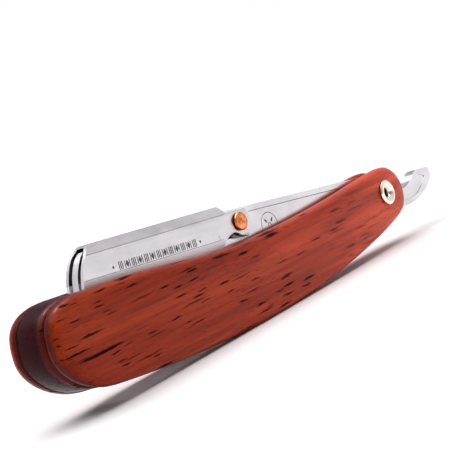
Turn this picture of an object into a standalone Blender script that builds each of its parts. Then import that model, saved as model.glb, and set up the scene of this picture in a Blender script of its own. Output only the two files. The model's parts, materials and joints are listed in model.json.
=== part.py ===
"""Barber's straight razor with a folding arm, a swing-up blade cover and a replaceable half blade.

The razor is drawn level, in its own side view: X runs from the toe of the handle (-X) to the tail (+X),
Z is up towards the spine, and Y runs across, with the near side at -Y.  The handle's pivot axis is at
X = 0, Z = 0.  A base empty then tips the whole razor on to the belly that it stands on, and puts the
middle of its footprint at the world's origin.

All sizes below are millimetres; they are turned into metres where the meshes are made.
"""

import math

import bmesh
import bpy
from mathutils import Matrix, Vector

MM = 0.001                       # metres in a millimetre
GAP = 0.3                        # clearance between pieces that rest on each other

# Arm: tang, curled tail and the thin carrier that holds the blade
HINGE_DISTANCE = 58.4            # pivot axis to the cover's rivet, along the razor
HINGE_HEIGHT = 3.5
RIVET_AT = (-HINGE_DISTANCE, HINGE_HEIGHT)
TANG_THICKNESS = 3.0
TANG_AHEAD = 3.6                 # how far the full thickness runs on beyond the rivet
TANG_FRONT = -HINGE_DISTANCE - TANG_AHEAD
TANG_TOP_FRONT = 6.85            # height of the top edge at TANG_FRONT
TANG_TOP_SLOPE = -0.0172
TANG_BOTTOM_FRONT = -2.6
TANG_BOTTOM_SLOPE = -0.042
RAIL_HEIGHT = 1.45               # raised rail along an edge of the tang or tail
WEB_BEHIND_RIVET = 5.6           # where the sunk panel between the rails starts
WEB_TO_PIVOT = 9.0               # and where it stops
WEB_DEPTH = 0.25
CARRIER_THICKNESS = 1.7
CARRIER_BOTTOM = -2.4

# Half of a double-edge blade, and the studs that place it
BLADE_LENGTH = 43.0
BLADE_WIDTH = 11.0
BLADE_EDGE_LENGTH = 37.3
BLADE_THICKNESS = 0.1
BLADE_TAB = 4.2                  # height of the narrower tabs at the blade's ends
BLADE_BACK_Z = 6.3
STUD_RADIUS = 1.0
STUD_SPACING = 24.0
STUD_Z = 5.1
STUD_REACH = 0.5                 # how far a stud stands out of the carrier; the closing cover clears it
STUD_FAR_REACH = 0.2             # and at the far side

# Cover: folded sheet that swings about the copper rivet
COVER_WALL = 0.8
COVER_TO_TANG = 0.33             # clearance between each ear of the cover and the tang
COVER_WIDTH = TANG_THICKNESS + 2 * (COVER_TO_TANG + COVER_WALL)
COVER_SPINE_WIDTH = COVER_WIDTH - 1.76
COVER_EDGE_WIDTH = COVER_WIDTH - 0.96
COVER_FOLD = 0.9
COVER_AHEAD = 5.3                # rivet to the end of the fold
COVER_BACK = -HINGE_DISTANCE - COVER_AHEAD
COVER_STEP = 1.2                 # length of the sloping step behind it
STEP_STEEPNESS = 1.2
SPINE_Z_BACK = 8.15              # height of the spine at COVER_BACK
SPINE_SLOPE = 0.0108
BEVEL_DROP = 2.05                # spine down to the lower line of the upper bevel
LOWER_BEVEL_Z = 0.45
COVER_BOTTOM = -3.2
BLADE_END_ROOM = 0.8             # fold's end to the blade's end
BLADE_MIDDLE_X = COVER_BACK - BLADE_END_ROOM - BLADE_LENGTH / 2
NOSE_ROOM = 3.9                  # blade's front end to the tip of the nose
NOSE_REACH = -(BLADE_MIDDLE_X - BLADE_LENGTH / 2) + NOSE_ROOM
NOSE_RADIUS = 13.0
NOSE_CENTRE = (NOSE_RADIUS - NOSE_REACH, -2.5)
CARRIER_SET_BACK = 0.4           # the carrier's nose behind the cover's
EAR_RADIUS = 4.2
EAR_TOP = 6.2
SCALLOP_START = 8.8              # rivet to the front of the scallop in the cover's lower edge
RIVET_RADIUS = 1.2
RIVET_HEAD_RADIUS = 2.15
RIVET_HEAD_HEIGHT = 0.75
BURR_THICKNESS = 0.3

# Pivot: a hollow eyelet clinched over a washer, with a shim on each side of the tang
EYELET_RADIUS = 2.0
EYELET_WALL = 0.9
EYELET_BORE = EYELET_RADIUS - EYELET_WALL
EYELET_LIP = 1.25                # how far the flange reaches beyond the barrel
EYELET_FLANGE = EYELET_RADIUS + EYELET_LIP
EYELET_FLANGE_HEIGHT = 0.8
WASHER_THICKNESS = 0.35
SHIM_RADIUS = 4.2
SHIM_THICKNESS = 0.3
SHIM_GAP = 0.2

# Handle: two wooden scales that splay from the pivot, past the cover, to a spacer at the toe
SPACER_LENGTH = 12.0
SPACER_ROOM = 3.3                # tip of the nose to the spacer
TOE_REACH = NOSE_REACH + SPACER_ROOM + SPACER_LENGTH
SCALE_THICKNESS = 3.7
SLOT_AT_PIVOT = TANG_THICKNESS + 2 * (SHIM_THICKNESS + 2 * SHIM_GAP)
COVER_CLEARANCE = 0.4            # cover to scale, on each side, at the back of the fold
SPLAY = (COVER_WIDTH / 2 + COVER_CLEARANCE - SLOT_AT_PIVOT / 2) / -COVER_BACK
OUTER_EDGE_RADIUS = 2.0
INNER_EDGE_RADIUS = 0.6
BACK_LOW = -1.37                  # height of the handle's top edge where it dips most
BACK_LOW_AT = 70.4               # distance of that dip from the pivot
BACK_RISE_TO_PIVOT = 8.28        # how far the top edge has risen by the pivot
BACK_POWER = 1.55                # how sharply the top edge bends up there
BACK_RISE_TO_TOE = 0.85          # how far it rises again on the way to the toe
BACK_SWELL_AT = 101.5            # where that swell is highest
BELLY_LOW = -20.95               # lowest height of the handle's bottom edge
BELLY_LOW_AT = 93.6              # distance of that lowest place from the pivot
BELLY_RISE = 12.3               # how far the belly has risen by the pivot
BELLY_POWER = 2.15              # how sharply the belly bends up
HEEL_RADIUS = 7.0                # round end of the handle beyond the pivot
HEEL_CENTRE = (3.4, -0.1)
TOE_ROUND_LENGTH = 14.7          # length of the rounded toe
TOE_TOP_SQUARENESS = 3.0         # superellipse powers of the toe's two corners
TOE_BOTTOM_SQUARENESS = 1.85
STANDING_TILT = math.radians(5.3)


# ---------------------------------------------------------------- shape helpers

def smooth_loop(points, steps):
    """A closed Catmull-Rom curve through the points, as a list of (x, z)."""
    loop = []
    count = len(points)
    for i in range(count):
        p0, p1, p2, p3 = (Vector(points[(i + k - 1) % count]) for k in range(4))
        loop.extend(catmull(p0, p1, p2, p3, k / steps) for k in range(steps))
    return loop


def smooth_run(points, steps):
    """An open Catmull-Rom curve through the points, ends included."""
    places = [Vector(point) for point in points]
    padded = [2 * places[0] - places[1]] + places + [2 * places[-1] - places[-2]]
    run = []
    for i in range(len(points) - 1):
        p0, p1, p2, p3 = padded[i:i + 4]
        run.extend(catmull(p0, p1, p2, p3, k / steps) for k in range(steps))
    run.append(tuple(points[-1]))
    return run


def catmull(p0, p1, p2, p3, share):
    """A point between p1 and p2 of the centripetal Catmull-Rom curve through four points."""
    t1 = math.sqrt((p1 - p0).length)
    t2 = t1 + math.sqrt((p2 - p1).length)
    t3 = t2 + math.sqrt((p3 - p2).length)
    t = t1 + (t2 - t1) * share
    a1 = p0.lerp(p1, t / t1)
    a2 = p1.lerp(p2, (t - t1) / (t2 - t1))
    a3 = p2.lerp(p3, (t - t2) / (t3 - t2))
    b1 = a1.lerp(a2, t / t2)
    b2 = a2.lerp(a3, (t - t1) / (t3 - t1))
    return tuple(b1.lerp(b2, (t - t1) / (t2 - t1)))


def arc(centre, radius, start, end, steps):
    """Points of an arc in the side view; angles in degrees from +X towards +Z."""
    points = []
    for k in range(steps + 1):
        angle = math.radians(start + (end - start) * k / steps)
        points.append((centre[0] + radius * math.cos(angle), centre[1] + radius * math.sin(angle)))
    return points


def inset(loop, distance):
    """The clockwise loop moved inwards along its own normals."""
    moved = []
    count = len(loop)
    for i, point in enumerate(loop):
        before = Vector(loop[i - 1])
        after = Vector(loop[(i + 1) % count])
        along = (after - before).normalized()
        moved.append((point[0] + along.y * distance, point[1] - along.x * distance))
    return moved


def mesh_from_rings(name, rings, shear=0.0):
    """A closed solid through rings of (loop, y); the first and last rings are filled."""
    mesh = bmesh.new()
    rows = []
    for loop, y in rings:
        rows.append([mesh.verts.new((x * MM, (y + shear * x) * MM, z * MM)) for x, z in loop])
    for low, high in zip(rows, rows[1:]):
        for i in range(len(low)):
            j = (i + 1) % len(low)
            mesh.faces.new((low[i], low[j], high[j], high[i]))
    mesh.faces.new(list(reversed(rows[0])))
    mesh.faces.new(rows[-1])
    bmesh.ops.recalc_face_normals(mesh, faces=mesh.faces)
    return finish_mesh(name, mesh)


def prism(name, loop, y_low, y_high):
    return mesh_from_rings(name, [(loop, y_low), (loop, y_high)])


def loft_along_x(name, section, x_low, x_high):
    """A closed solid between section(x_low) and section(x_high), each a list of (y, z)."""
    mesh = bmesh.new()
    rows = [[mesh.verts.new((x * MM, y * MM, z * MM)) for y, z in section(x)] for x in (x_low, x_high)]
    count = len(rows[0])
    for i in range(count):
        j = (i + 1) % count
        mesh.faces.new((rows[0][i], rows[0][j], rows[1][j], rows[1][i]))
    mesh.faces.new(list(reversed(rows[0])))
    mesh.faces.new(rows[1])
    bmesh.ops.recalc_face_normals(mesh, faces=mesh.faces)
    return finish_mesh(name, mesh)


def turned_ring(name, profile, steps):
    """A ring turned about the Y axis from a closed profile of (radius, y)."""
    mesh = bmesh.new()
    rows = []
    for k in range(steps):
        angle = 2 * math.pi * k / steps
        rows.append([mesh.verts.new((r * MM * math.cos(angle), y * MM, r * MM * math.sin(angle)))
                     for r, y in profile])
    for k in range(steps):
        near, far = rows[k], rows[(k + 1) % steps]
        for i in range(len(profile)):
            j = (i + 1) % len(profile)
            mesh.faces.new((near[i], near[j], far[j], far[i]))
    bmesh.ops.recalc_face_normals(mesh, faces=mesh.faces)
    return finish_mesh(name, mesh)


def turned_solid(name, profile, steps):
    """A solid turned about the Y axis from an open profile whose two ends lie on the axis."""
    mesh = bmesh.new()
    first = mesh.verts.new((0, profile[0][1] * MM, 0))
    last = mesh.verts.new((0, profile[-1][1] * MM, 0))
    rows = []
    for k in range(steps):
        angle = 2 * math.pi * k / steps
        rows.append([mesh.verts.new((r * MM * math.cos(angle), y * MM, r * MM * math.sin(angle)))
                     for r, y in profile[1:-1]])
    for k in range(steps):
        near, far = rows[k], rows[(k + 1) % steps]
        mesh.faces.new((first, near[0], far[0]))
        mesh.faces.new((last, far[-1], near[-1]))
        for i in range(len(near) - 1):
            mesh.faces.new((near[i], near[i + 1], far[i + 1], far[i]))
    bmesh.ops.recalc_face_normals(mesh, faces=mesh.faces)
    return finish_mesh(name, mesh)


def finish_mesh(name, mesh):
    data = bpy.data.meshes.new(name)
    mesh.to_mesh(data)
    mesh.free()
    data.shade_smooth()
    data.set_sharp_from_angle(angle=math.radians(35))
    thing = bpy.data.objects.new(name, data)
    bpy.context.scene.collection.objects.link(thing)
    return thing


def cut(thing, cutter, operation="DIFFERENCE"):
    """Applies a cutter that stays in the file as a hidden guide."""
    cutter.hide_render = True
    cutter.display_type = "WIRE"
    step = thing.modifiers.new(cutter.name, "BOOLEAN")
    step.operation = operation
    step.solver = "EXACT"
    step.object = cutter


def bore(name, centre, radius, reach, steps=32):
    """A round cutter across the razor."""
    hole = turned_solid(name, [(0, -reach), (radius, -reach), (radius, reach), (0, reach)], steps)
    hole.location = (centre[0] * MM, 0, centre[1] * MM)
    return hole


def finish(thing, colour, roughness, metallic):
    material = bpy.data.materials.new(thing.name)
    material.use_nodes = True
    shader = material.node_tree.nodes["Principled BSDF"]
    shader.inputs["Base Color"].default_value = (*colour, 1.0)
    shader.inputs["Roughness"].default_value = roughness
    shader.inputs["Metallic"].default_value = metallic
    thing.data.materials.append(material)


# ---------------------------------------------------------------- handle

def back_height(distance):
    """Height of the handle's top edge at a distance from the pivot towards the toe."""
    if distance < BACK_LOW_AT:
        return BACK_LOW + BACK_RISE_TO_PIVOT * (1 - distance / BACK_LOW_AT) ** BACK_POWER
    share = (distance - BACK_LOW_AT) / (BACK_SWELL_AT - BACK_LOW_AT)
    return BACK_LOW + BACK_RISE_TO_TOE * (1 - math.cos(math.pi * share)) / 2


def belly_height(distance):
    share = abs(distance - BELLY_LOW_AT) / BELLY_LOW_AT
    return BELLY_LOW + BELLY_RISE * share ** BELLY_POWER


def toe_end(steps):
    """The rounded toe, from its top corner round to its bottom corner."""
    start = TOE_REACH - TOE_ROUND_LENGTH
    top = back_height(start)
    bottom = belly_height(start)
    middle = (top + bottom) / 2
    half = (top - bottom) / 2
    points = []
    for k in range(1, steps):
        angle = math.pi * k / steps
        power = 2 / (TOE_TOP_SQUARENESS if angle < math.pi / 2 else TOE_BOTTOM_SQUARENESS)
        x = -start - TOE_ROUND_LENGTH * abs(math.sin(angle)) ** power
        rise = math.copysign(abs(math.cos(angle)) ** power, math.cos(angle))
        points.append((x, middle + half * rise))
    return points


def handle_outline():
    """Side outline of the handle, clockwise as seen from the near side."""
    top_stations = [0.88 * TOE_REACH - (0.82 * TOE_REACH) * k / 8 for k in range(9)]
    belly_stations = [TOE_REACH * (0.015 + 0.845 * k / 9) for k in range(10)]
    keys = [(-d, back_height(d)) for d in top_stations]
    keys += arc(HEEL_CENTRE, HEEL_RADIUS, 95, -55, 7)
    keys += [(-d, belly_height(d)) for d in belly_stations]
    keys += list(reversed(toe_end(14)))
    return smooth_loop(keys, 2)


def make_scale(name, side, outline):
    """One wooden scale, side -1 near and +1 far, with rounded edges and the pivot's bore."""
    inner = SLOT_AT_PIVOT / 2
    outer = inner + SCALE_THICKNESS
    rings = [(inset(outline, INNER_EDGE_RADIUS), side * inner),
             (inset(outline, INNER_EDGE_RADIUS * 0.3), side * (inner + INNER_EDGE_RADIUS * 0.3)),
             (outline, side * (inner + INNER_EDGE_RADIUS))]
    for k in range(5):
        angle = math.radians(90 * k / 4)
        depth = OUTER_EDGE_RADIUS * (1 - math.cos(angle))
        y = outer - OUTER_EDGE_RADIUS * (1 - math.sin(angle))
        rings.append((inset(outline, depth), side * y))
    scale = mesh_from_rings(name, rings, -side * SPLAY)
    cut(scale, bore(name + "_bore", (0, 0), EYELET_RADIUS + GAP, 20))
    return scale


def make_toe_spacer(outline):
    """The wedge of wood between the scales at the toe; its front end is square to the slot."""
    front = -(TOE_REACH - SPACER_LENGTH)
    toe = [point for point in outline if point[0] < front]
    loop = toe + [(front, toe[-1][1]), (front, toe[0][1])]
    half = SLOT_AT_PIVOT / 2 - GAP
    mesh = bmesh.new()
    rows = []
    steps = ((INNER_EDGE_RADIUS, -1, half), (0, -1, half - INNER_EDGE_RADIUS),
             (0, 1, half - INNER_EDGE_RADIUS), (INNER_EDGE_RADIUS, 1, half))
    for depth, side, y in steps:
        ring = inset(loop, depth)
        rows.append([mesh.verts.new((x * MM, side * (y - SPLAY * x) * MM, z * MM)) for x, z in ring])
    for low, high in zip(rows, rows[1:]):
        for i in range(len(low)):
            j = (i + 1) % len(low)
            mesh.faces.new((low[i], low[j], high[j], high[i]))
    mesh.faces.new(list(reversed(rows[0])))
    mesh.faces.new(rows[-1])
    bmesh.ops.recalc_face_normals(mesh, faces=mesh.faces)
    return finish_mesh("toe_spacer", mesh)


# ---------------------------------------------------------------- pivot

def make_pivot():
    """The eyelet, its far washer and the two shims, all on the pivot axis."""
    face = SLOT_AT_PIVOT / 2 + SCALE_THICKNESS
    near = -(face + GAP)
    crest = near - EYELET_FLANGE_HEIGHT * 0.75
    far_seat = face + GAP + WASHER_THICKNESS + GAP
    far_crest = face + GAP + EYELET_FLANGE_HEIGHT + WASHER_THICKNESS
    clinch = EYELET_FLANGE - 0.5
    profile = [(EYELET_BORE, near + 0.9),
               (EYELET_BORE + 0.55, near - EYELET_FLANGE_HEIGHT * 0.2),
               (EYELET_BORE + 1.1, crest),
               (EYELET_FLANGE - 0.35, crest),
               (EYELET_FLANGE, near - EYELET_FLANGE_HEIGHT * 0.3),
               (EYELET_FLANGE - 0.15, near),
               (EYELET_RADIUS, near),
               (EYELET_RADIUS, far_seat),
               (clinch - 0.1, far_seat),
               (clinch, far_seat + 0.2),
               (clinch - 0.4, far_crest),
               (EYELET_BORE + 0.7, far_crest),
               (EYELET_BORE, far_crest - 0.6)]
    eyelet = turned_ring("pivot_eyelet", profile, 40)
    washer = flat_ring("pivot_far_washer", EYELET_RADIUS + GAP, EYELET_FLANGE, face + GAP, WASHER_THICKNESS)
    shims = []
    for name, side in (("near_pivot_shim", -1), ("far_pivot_shim", 1)):
        low = TANG_THICKNESS / 2 + SHIM_GAP
        start = low if side > 0 else -low - SHIM_THICKNESS
        shims.append(flat_ring(name, EYELET_RADIUS + GAP, SHIM_RADIUS, start, SHIM_THICKNESS))
    return eyelet, washer, shims


def flat_ring(name, inner, outer, y, thickness):
    profile = [(inner, y), (outer, y), (outer, y + thickness), (inner, y + thickness)]
    return turned_ring(name, profile, 36)


# ---------------------------------------------------------------- arm

def tang_top(x):
    return TANG_TOP_FRONT + TANG_TOP_SLOPE * (x - TANG_FRONT)


def tang_bottom(x):
    return TANG_BOTTOM_FRONT + TANG_BOTTOM_SLOPE * (x - TANG_FRONT)


def tail_top():
    """Upper edge of the tail, from the tang's top behind the pivot to the tip."""
    return smooth_run([(-6, tang_top(-6)), (2, 4.9), (8.5, 1.9), (12.8, 0.15), (16.5, -0.25),
                       (20.0, 0.95), (22.7, 2.7), (24.8, 3.7)], 4)


def tail_bottom():
    """Lower edge of the tail, from the tip back to the tang."""
    return smooth_run([(31.4, 3.7), (32.1, 1.6), (29.8, -0.8), (24.9, -3.25), (19.0, -4.8),
                       (12.5, -5.1), (0, tang_bottom(0))], 4)


def arm_outline():
    """Carrier, tang and tail in one side outline, clockwise."""
    spine = spine_height(TANG_FRONT) - COVER_FOLD - GAP
    nose = arc(NOSE_CENTRE, NOSE_RADIUS - CARRIER_SET_BACK, 180, 132, 7)
    points = [(TANG_FRONT - 1.5, CARRIER_BOTTOM), (nose[0][0] + 0.5, CARRIER_BOTTOM)] + nose
    front_top = spine_height(nose[-1][0]) - COVER_FOLD - GAP
    points = [p for p in points if p[1] < front_top]
    points.append((nose[-1][0] + 0.6, front_top))
    points.append((TANG_FRONT - 1.5, spine - 0.3))
    points.append((TANG_FRONT - 0.3, tang_top(TANG_FRONT) - 0.5))
    points.append((TANG_FRONT, tang_top(TANG_FRONT)))
    points += tail_top()
    points += tail_bottom()
    points.append((TANG_FRONT + 2.0, tang_bottom(TANG_FRONT + 2.0)))
    return points


def web_pocket(name, side):
    """Cutter that sinks the panel between the tang's two rails."""
    front = WEB_BEHIND_RIVET - HINGE_DISTANCE
    back = -WEB_TO_PIVOT
    loop = [(front, tang_top(front) - RAIL_HEIGHT), (back, tang_top(back) - RAIL_HEIGHT),
            (back, tang_bottom(back) + RAIL_HEIGHT), (front, tang_bottom(front) + RAIL_HEIGHT)]
    low = TANG_THICKNESS / 2 - WEB_DEPTH
    return prism(name, loop, side * low, side * 5)


def tail_pocket(name, side):
    """Cutter that sinks the band along the middle of the tail."""
    upper = smooth_run([(12.0, -1.4), (16.0, -1.75), (20.0, -0.9), (23.2, 0.95), (25.4, 2.5)], 4)
    lower = smooth_run([(28.6, 1.5), (26.4, -0.6), (22.6, -2.6), (18.0, -3.4), (12.0, -3.6)], 4)
    low = TANG_THICKNESS / 2 - WEB_DEPTH
    return prism(name, upper + lower, side * low, side * 5)


def carrier_relief(name, side):
    """Cutter that thins the carrier in front of the tang."""
    back = TANG_FRONT
    front = -TOE_REACH
    loop = [(front, -20), (front, 20), (back, 20), (back, 2.2), (back - 4.2, -1.0), (back - 5.0, -20)]
    return prism(name, loop, side * CARRIER_THICKNESS / 2, side * 5)


def from_rivet(points):
    """Points given by their distance from the rivet, in the side view."""
    return [(RIVET_AT[0] + x, RIVET_AT[1] + z) for x, z in points]


def lug_slot():
    """Curved slot through the arm below the rivet, which frees the thumb lug."""
    upper = [(-5.8, -3.3), (-4.0, -2.35), (-2.5, -2.3), (-0.9, -2.95), (0.5, -3.5)]
    lower = [(0.4, -4.25), (-1.2, -3.9), (-2.6, -3.35), (-4.1, -3.15), (-5.8, -3.6)]
    loop = smooth_run(from_rivet(upper), 4) + smooth_run(from_rivet(lower), 4)
    return prism("lug_slot", loop, -5, 5)


def make_arm():
    arm = prism("arm", arm_outline(), -TANG_THICKNESS / 2, TANG_THICKNESS / 2)
    for side, word in ((-1, "near"), (1, "far")):
        cut(arm, carrier_relief(word + "_carrier_relief", side))
        cut(arm, web_pocket(word + "_web_pocket", side))
        cut(arm, tail_pocket(word + "_tail_pocket", side))
    cut(arm, lug_slot())
    cut(arm, bore("arm_pivot_bore", (0, 0), EYELET_RADIUS + GAP, 5))
    cut(arm, bore("arm_rivet_bore", RIVET_AT, RIVET_RADIUS + GAP, 5, 24))
    for side, x in stud_places():
        cut(arm, bore(side + "_stud_bore", (x, STUD_Z), STUD_RADIUS + GAP, 5, 20))
    return arm


def stud_places():
    half = STUD_SPACING / 2
    return (("front", BLADE_MIDDLE_X - half), ("rear", BLADE_MIDDLE_X + half))


def make_studs():
    """Pins pressed through the carrier; the blade's half-round notches sit on them."""
    studs = []
    far = CARRIER_THICKNESS / 2 + STUD_FAR_REACH
    near = CARRIER_THICKNESS / 2 + STUD_REACH
    for side, x in stud_places():
        profile = [(0, -near), (STUD_RADIUS - 0.2, -near), (STUD_RADIUS, -near + 0.2), (STUD_RADIUS, far),
                   (0, far)]
        stud = turned_solid(side + "_blade_stud", profile, 20)
        stud.location = (x * MM, 0, STUD_Z * MM)
        studs.append(stud)
    return studs


def blade_outline():
    """Half blade: straight broken back with round notches, narrower tabs, and the cutting edge below."""
    half = BLADE_LENGTH / 2
    edge_half = BLADE_EDGE_LENGTH / 2
    edge_z = BLADE_BACK_Z - BLADE_WIDTH
    tab_z = BLADE_BACK_Z - BLADE_TAB
    notch = STUD_RADIUS + GAP
    drop = BLADE_BACK_Z - STUD_Z
    points = [(BLADE_MIDDLE_X - half, BLADE_BACK_Z)]
    for _, x in stud_places():
        points.append((x - notch, BLADE_BACK_Z))
        points += arc((x, BLADE_BACK_Z - drop), notch, 180, 360, 10)
        points.append((x + notch, BLADE_BACK_Z))
    points += [(BLADE_MIDDLE_X + half, BLADE_BACK_Z), (BLADE_MIDDLE_X + half, tab_z),
               (BLADE_MIDDLE_X + edge_half, tab_z - 0.8), (BLADE_MIDDLE_X + edge_half, edge_z),
               (BLADE_MIDDLE_X - edge_half, edge_z), (BLADE_MIDDLE_X - edge_half, tab_z - 0.8),
               (BLADE_MIDDLE_X - half, tab_z)]
    return points


def make_blade():
    near = -(CARRIER_THICKNESS / 2 + GAP)
    return prism("half_blade", blade_outline(), near - BLADE_THICKNESS, near)


def make_rivet():
    """Copper rivet through the cover's ears and the arm, set on a small burr at the far side."""
    seat = COVER_WIDTH / 2 + GAP
    crest = seat + RIVET_HEAD_HEIGHT
    profile = [(0, -crest),
               (RIVET_HEAD_RADIUS * 0.6, -crest + 0.06),
               (RIVET_HEAD_RADIUS * 0.88, -crest + 0.2),
               (RIVET_HEAD_RADIUS, -crest + 0.42),
               (RIVET_HEAD_RADIUS, -seat),
               (RIVET_RADIUS, -seat),
               (RIVET_RADIUS, seat + BURR_THICKNESS + GAP),
               (RIVET_HEAD_RADIUS * 0.85, seat + BURR_THICKNESS + GAP),
               (RIVET_HEAD_RADIUS * 0.7, crest + BURR_THICKNESS),
               (0, crest + BURR_THICKNESS + 0.1)]
    rivet = turned_solid("hinge_rivet", profile, 32)
    burr = flat_ring("hinge_rivet_burr", RIVET_RADIUS + GAP, RIVET_HEAD_RADIUS, seat, BURR_THICKNESS)
    for thing in (rivet, burr):
        thing.location = (RIVET_AT[0] * MM, 0, RIVET_AT[1] * MM)
    return rivet, burr


# ---------------------------------------------------------------- cover

def spine_height(x):
    return SPINE_Z_BACK + SPINE_SLOPE * (x - COVER_BACK)


def cover_outside(x):
    """Outer cross-section of the folded cover."""
    top = spine_height(x)
    right = [(COVER_SPINE_WIDTH / 2 - 0.35, top), (COVER_SPINE_WIDTH / 2, top - 0.25),
             (COVER_WIDTH / 2, top - BEVEL_DROP), (COVER_WIDTH / 2, LOWER_BEVEL_Z),
             (COVER_EDGE_WIDTH / 2, COVER_BOTTOM)]
    return [(-y, z) for y, z in reversed(right)] + right


def cover_inside(x):
    """Inner cross-section, which runs out through the open bottom."""
    top = spine_height(x) - COVER_FOLD
    wall = COVER_WIDTH / 2 - COVER_WALL
    mouth = COVER_EDGE_WIDTH / 2 - COVER_WALL * 0.8
    right = [(COVER_SPINE_WIDTH / 2 - COVER_WALL, top), (wall, top - BEVEL_DROP + COVER_FOLD),
             (wall, LOWER_BEVEL_Z), (mouth, COVER_BOTTOM), (mouth, COVER_BOTTOM - 5)]
    return [(-y, z) for y, z in reversed(right)] + right


def cover_outline():
    """Side outline of the cover: nose, spine, step, ear round the rivet and the scallop below it."""
    step_x = COVER_BACK + COVER_STEP
    step_z = spine_height(COVER_BACK) - COVER_STEP * STEP_STEEPNESS
    nose_top = math.degrees(math.asin((spine_height(-NOSE_REACH + 5) - NOSE_CENTRE[1]) / NOSE_RADIUS))
    ear_start = math.degrees(math.asin((EAR_TOP - RIVET_AT[1]) / EAR_RADIUS))
    points = arc(NOSE_CENTRE, NOSE_RADIUS, 180, 180 - nose_top, 10)
    points += [(NOSE_CENTRE[0], 20), (COVER_BACK, 20), (COVER_BACK, spine_height(COVER_BACK)),
               (step_x, step_z), (step_x + 0.1, EAR_TOP)]
    points += arc(RIVET_AT, EAR_RADIUS, ear_start, -62, 12)
    scallop = from_rivet([(1.0, -3.35), (-0.2, -3.15), (-1.6, -2.35), (-2.8, -2.1), (-4.2, -2.35),
                          (-6.0, -3.25), (-7.6, -4.6)])
    corner = RIVET_AT[0] - SCALLOP_START
    points += smooth_run(scallop + [(corner, COVER_BOTTOM)], 4)
    points += [(corner, COVER_BOTTOM - 10), (-NOSE_REACH, COVER_BOTTOM - 10)]
    return points


def make_cover():
    front = -NOSE_REACH - 3
    back = RIVET_AT[0] + EAR_RADIUS + 3
    cover = loft_along_x("blade_cover", cover_outside, front, back)
    cut(cover, prism("cover_side_outline", cover_outline(), -10, 10), "INTERSECT")
    cut(cover, loft_along_x("cover_inside", cover_inside, front - 2, back + 2))
    cut(cover, bore("cover_rivet_bore", RIVET_AT, RIVET_RADIUS + GAP, 5, 24))
    return cover


# ---------------------------------------------------------------- assembly

def empty_at(name, x, z, parent=None):
    empty = bpy.data.objects.new(name, None)
    bpy.context.scene.collection.objects.link(empty)
    empty.location = (x * MM, 0, z * MM)
    empty.parent = parent
    return empty


def standing_place(outline):
    """Where the pivot is when the tipped razor stands on its belly, centred on the origin."""
    tip = Matrix.Rotation(-STANDING_TILT, 2)
    points = [tip @ Vector(p) for p in outline + tail_bottom()]
    left = min(p.x for p in points)
    right = max(p.x for p in points)
    return -(left + right) / 2, -min(p.y for p in points)


def main():
    for thing in list(bpy.data.objects):
        bpy.data.objects.remove(thing)
    outline = handle_outline()
    base = empty_at("base", *standing_place(outline))
    base.rotation_euler = (0, STANDING_TILT, 0)
    arm_axis = empty_at("arm_axis", 0, 0, base)
    cover_axis = empty_at("cover_axis", *RIVET_AT, arm_axis)

    wood = (0.30, 0.055, 0.022)
    dark_wood = (0.10, 0.022, 0.018)
    steel = (0.62, 0.60, 0.60)
    nickel = (0.72, 0.64, 0.50)
    copper = (0.78, 0.30, 0.13)

    near_scale = make_scale("near_scale", -1, outline)
    far_scale = make_scale("far_scale", 1, outline)
    spacer = make_toe_spacer(outline)
    eyelet, washer, shims = make_pivot()
    handle_pieces = [near_scale, far_scale, spacer, eyelet, washer, *shims]
    arm_pieces = [make_arm(), make_blade(), *make_studs(), *make_rivet()]
    cover = make_cover()

    for thing in (near_scale, far_scale):
        finish(thing, wood, 0.3, 0.0)
    finish(spacer, dark_wood, 0.35, 0.0)
    for thing in (eyelet, washer, *shims):
        finish(thing, nickel, 0.22, 1.0)
    for thing in (arm_pieces[0], *arm_pieces[2:4], cover):
        finish(thing, steel, 0.15, 1.0)
    finish(arm_pieces[1], steel, 0.12, 1.0)
    for thing in arm_pieces[4:]:
        finish(thing, copper, 0.25, 1.0)

    hang_under(base, handle_pieces)
    hang_under(arm_axis, arm_pieces)
    hang_under(cover_axis, [cover])


def hang_under(parent, pieces):
    """Parents the pieces and their cutters without moving them in the side view."""
    offset = Vector((0, 0, 0))
    holder = parent
    while holder is not None and holder.name != "base":
        offset += holder.location
        holder = holder.parent
    for piece in pieces:
        guides = [step.object for step in piece.modifiers if step.type == "BOOLEAN"]
        for thing in [piece] + guides:
            thing.parent = parent
            thing.location -= offset


main()
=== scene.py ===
"""The looks of a barber's folding razor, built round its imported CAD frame.

Shapes are worked out in the razor's own level view, in millimetres: X runs from the toe of the handle to
the tail, Z is up towards the spine, Y runs across with the near side at -Y, and the pivot's axis is at
X = 0, Z = 0. LEVEL carries them into the frame's own axes, where the razor is tipped on to its belly.
"""

import json
import math

import bmesh
import bpy
from mathutils import Matrix, Vector


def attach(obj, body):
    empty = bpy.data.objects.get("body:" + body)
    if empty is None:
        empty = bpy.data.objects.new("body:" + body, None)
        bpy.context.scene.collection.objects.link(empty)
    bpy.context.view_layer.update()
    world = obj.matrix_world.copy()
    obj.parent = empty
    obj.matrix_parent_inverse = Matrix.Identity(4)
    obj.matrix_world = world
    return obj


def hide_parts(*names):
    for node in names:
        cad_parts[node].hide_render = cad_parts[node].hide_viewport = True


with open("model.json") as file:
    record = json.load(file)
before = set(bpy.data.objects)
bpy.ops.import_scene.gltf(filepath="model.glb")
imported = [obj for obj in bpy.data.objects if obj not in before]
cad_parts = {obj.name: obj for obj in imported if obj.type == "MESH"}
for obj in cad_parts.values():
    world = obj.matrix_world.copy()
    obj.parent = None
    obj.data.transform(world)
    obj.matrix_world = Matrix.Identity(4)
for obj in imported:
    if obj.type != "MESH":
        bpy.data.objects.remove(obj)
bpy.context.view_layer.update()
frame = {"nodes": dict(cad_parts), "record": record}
JOINTS = {joint["name"]: joint for joint in frame["record"]["behaviour"]["joints"]}
PIVOT = Vector(JOINTS["arm_fold"]["pos_m"])
HINGE = Vector(JOINTS["cover_swing"]["pos_m"])

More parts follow.
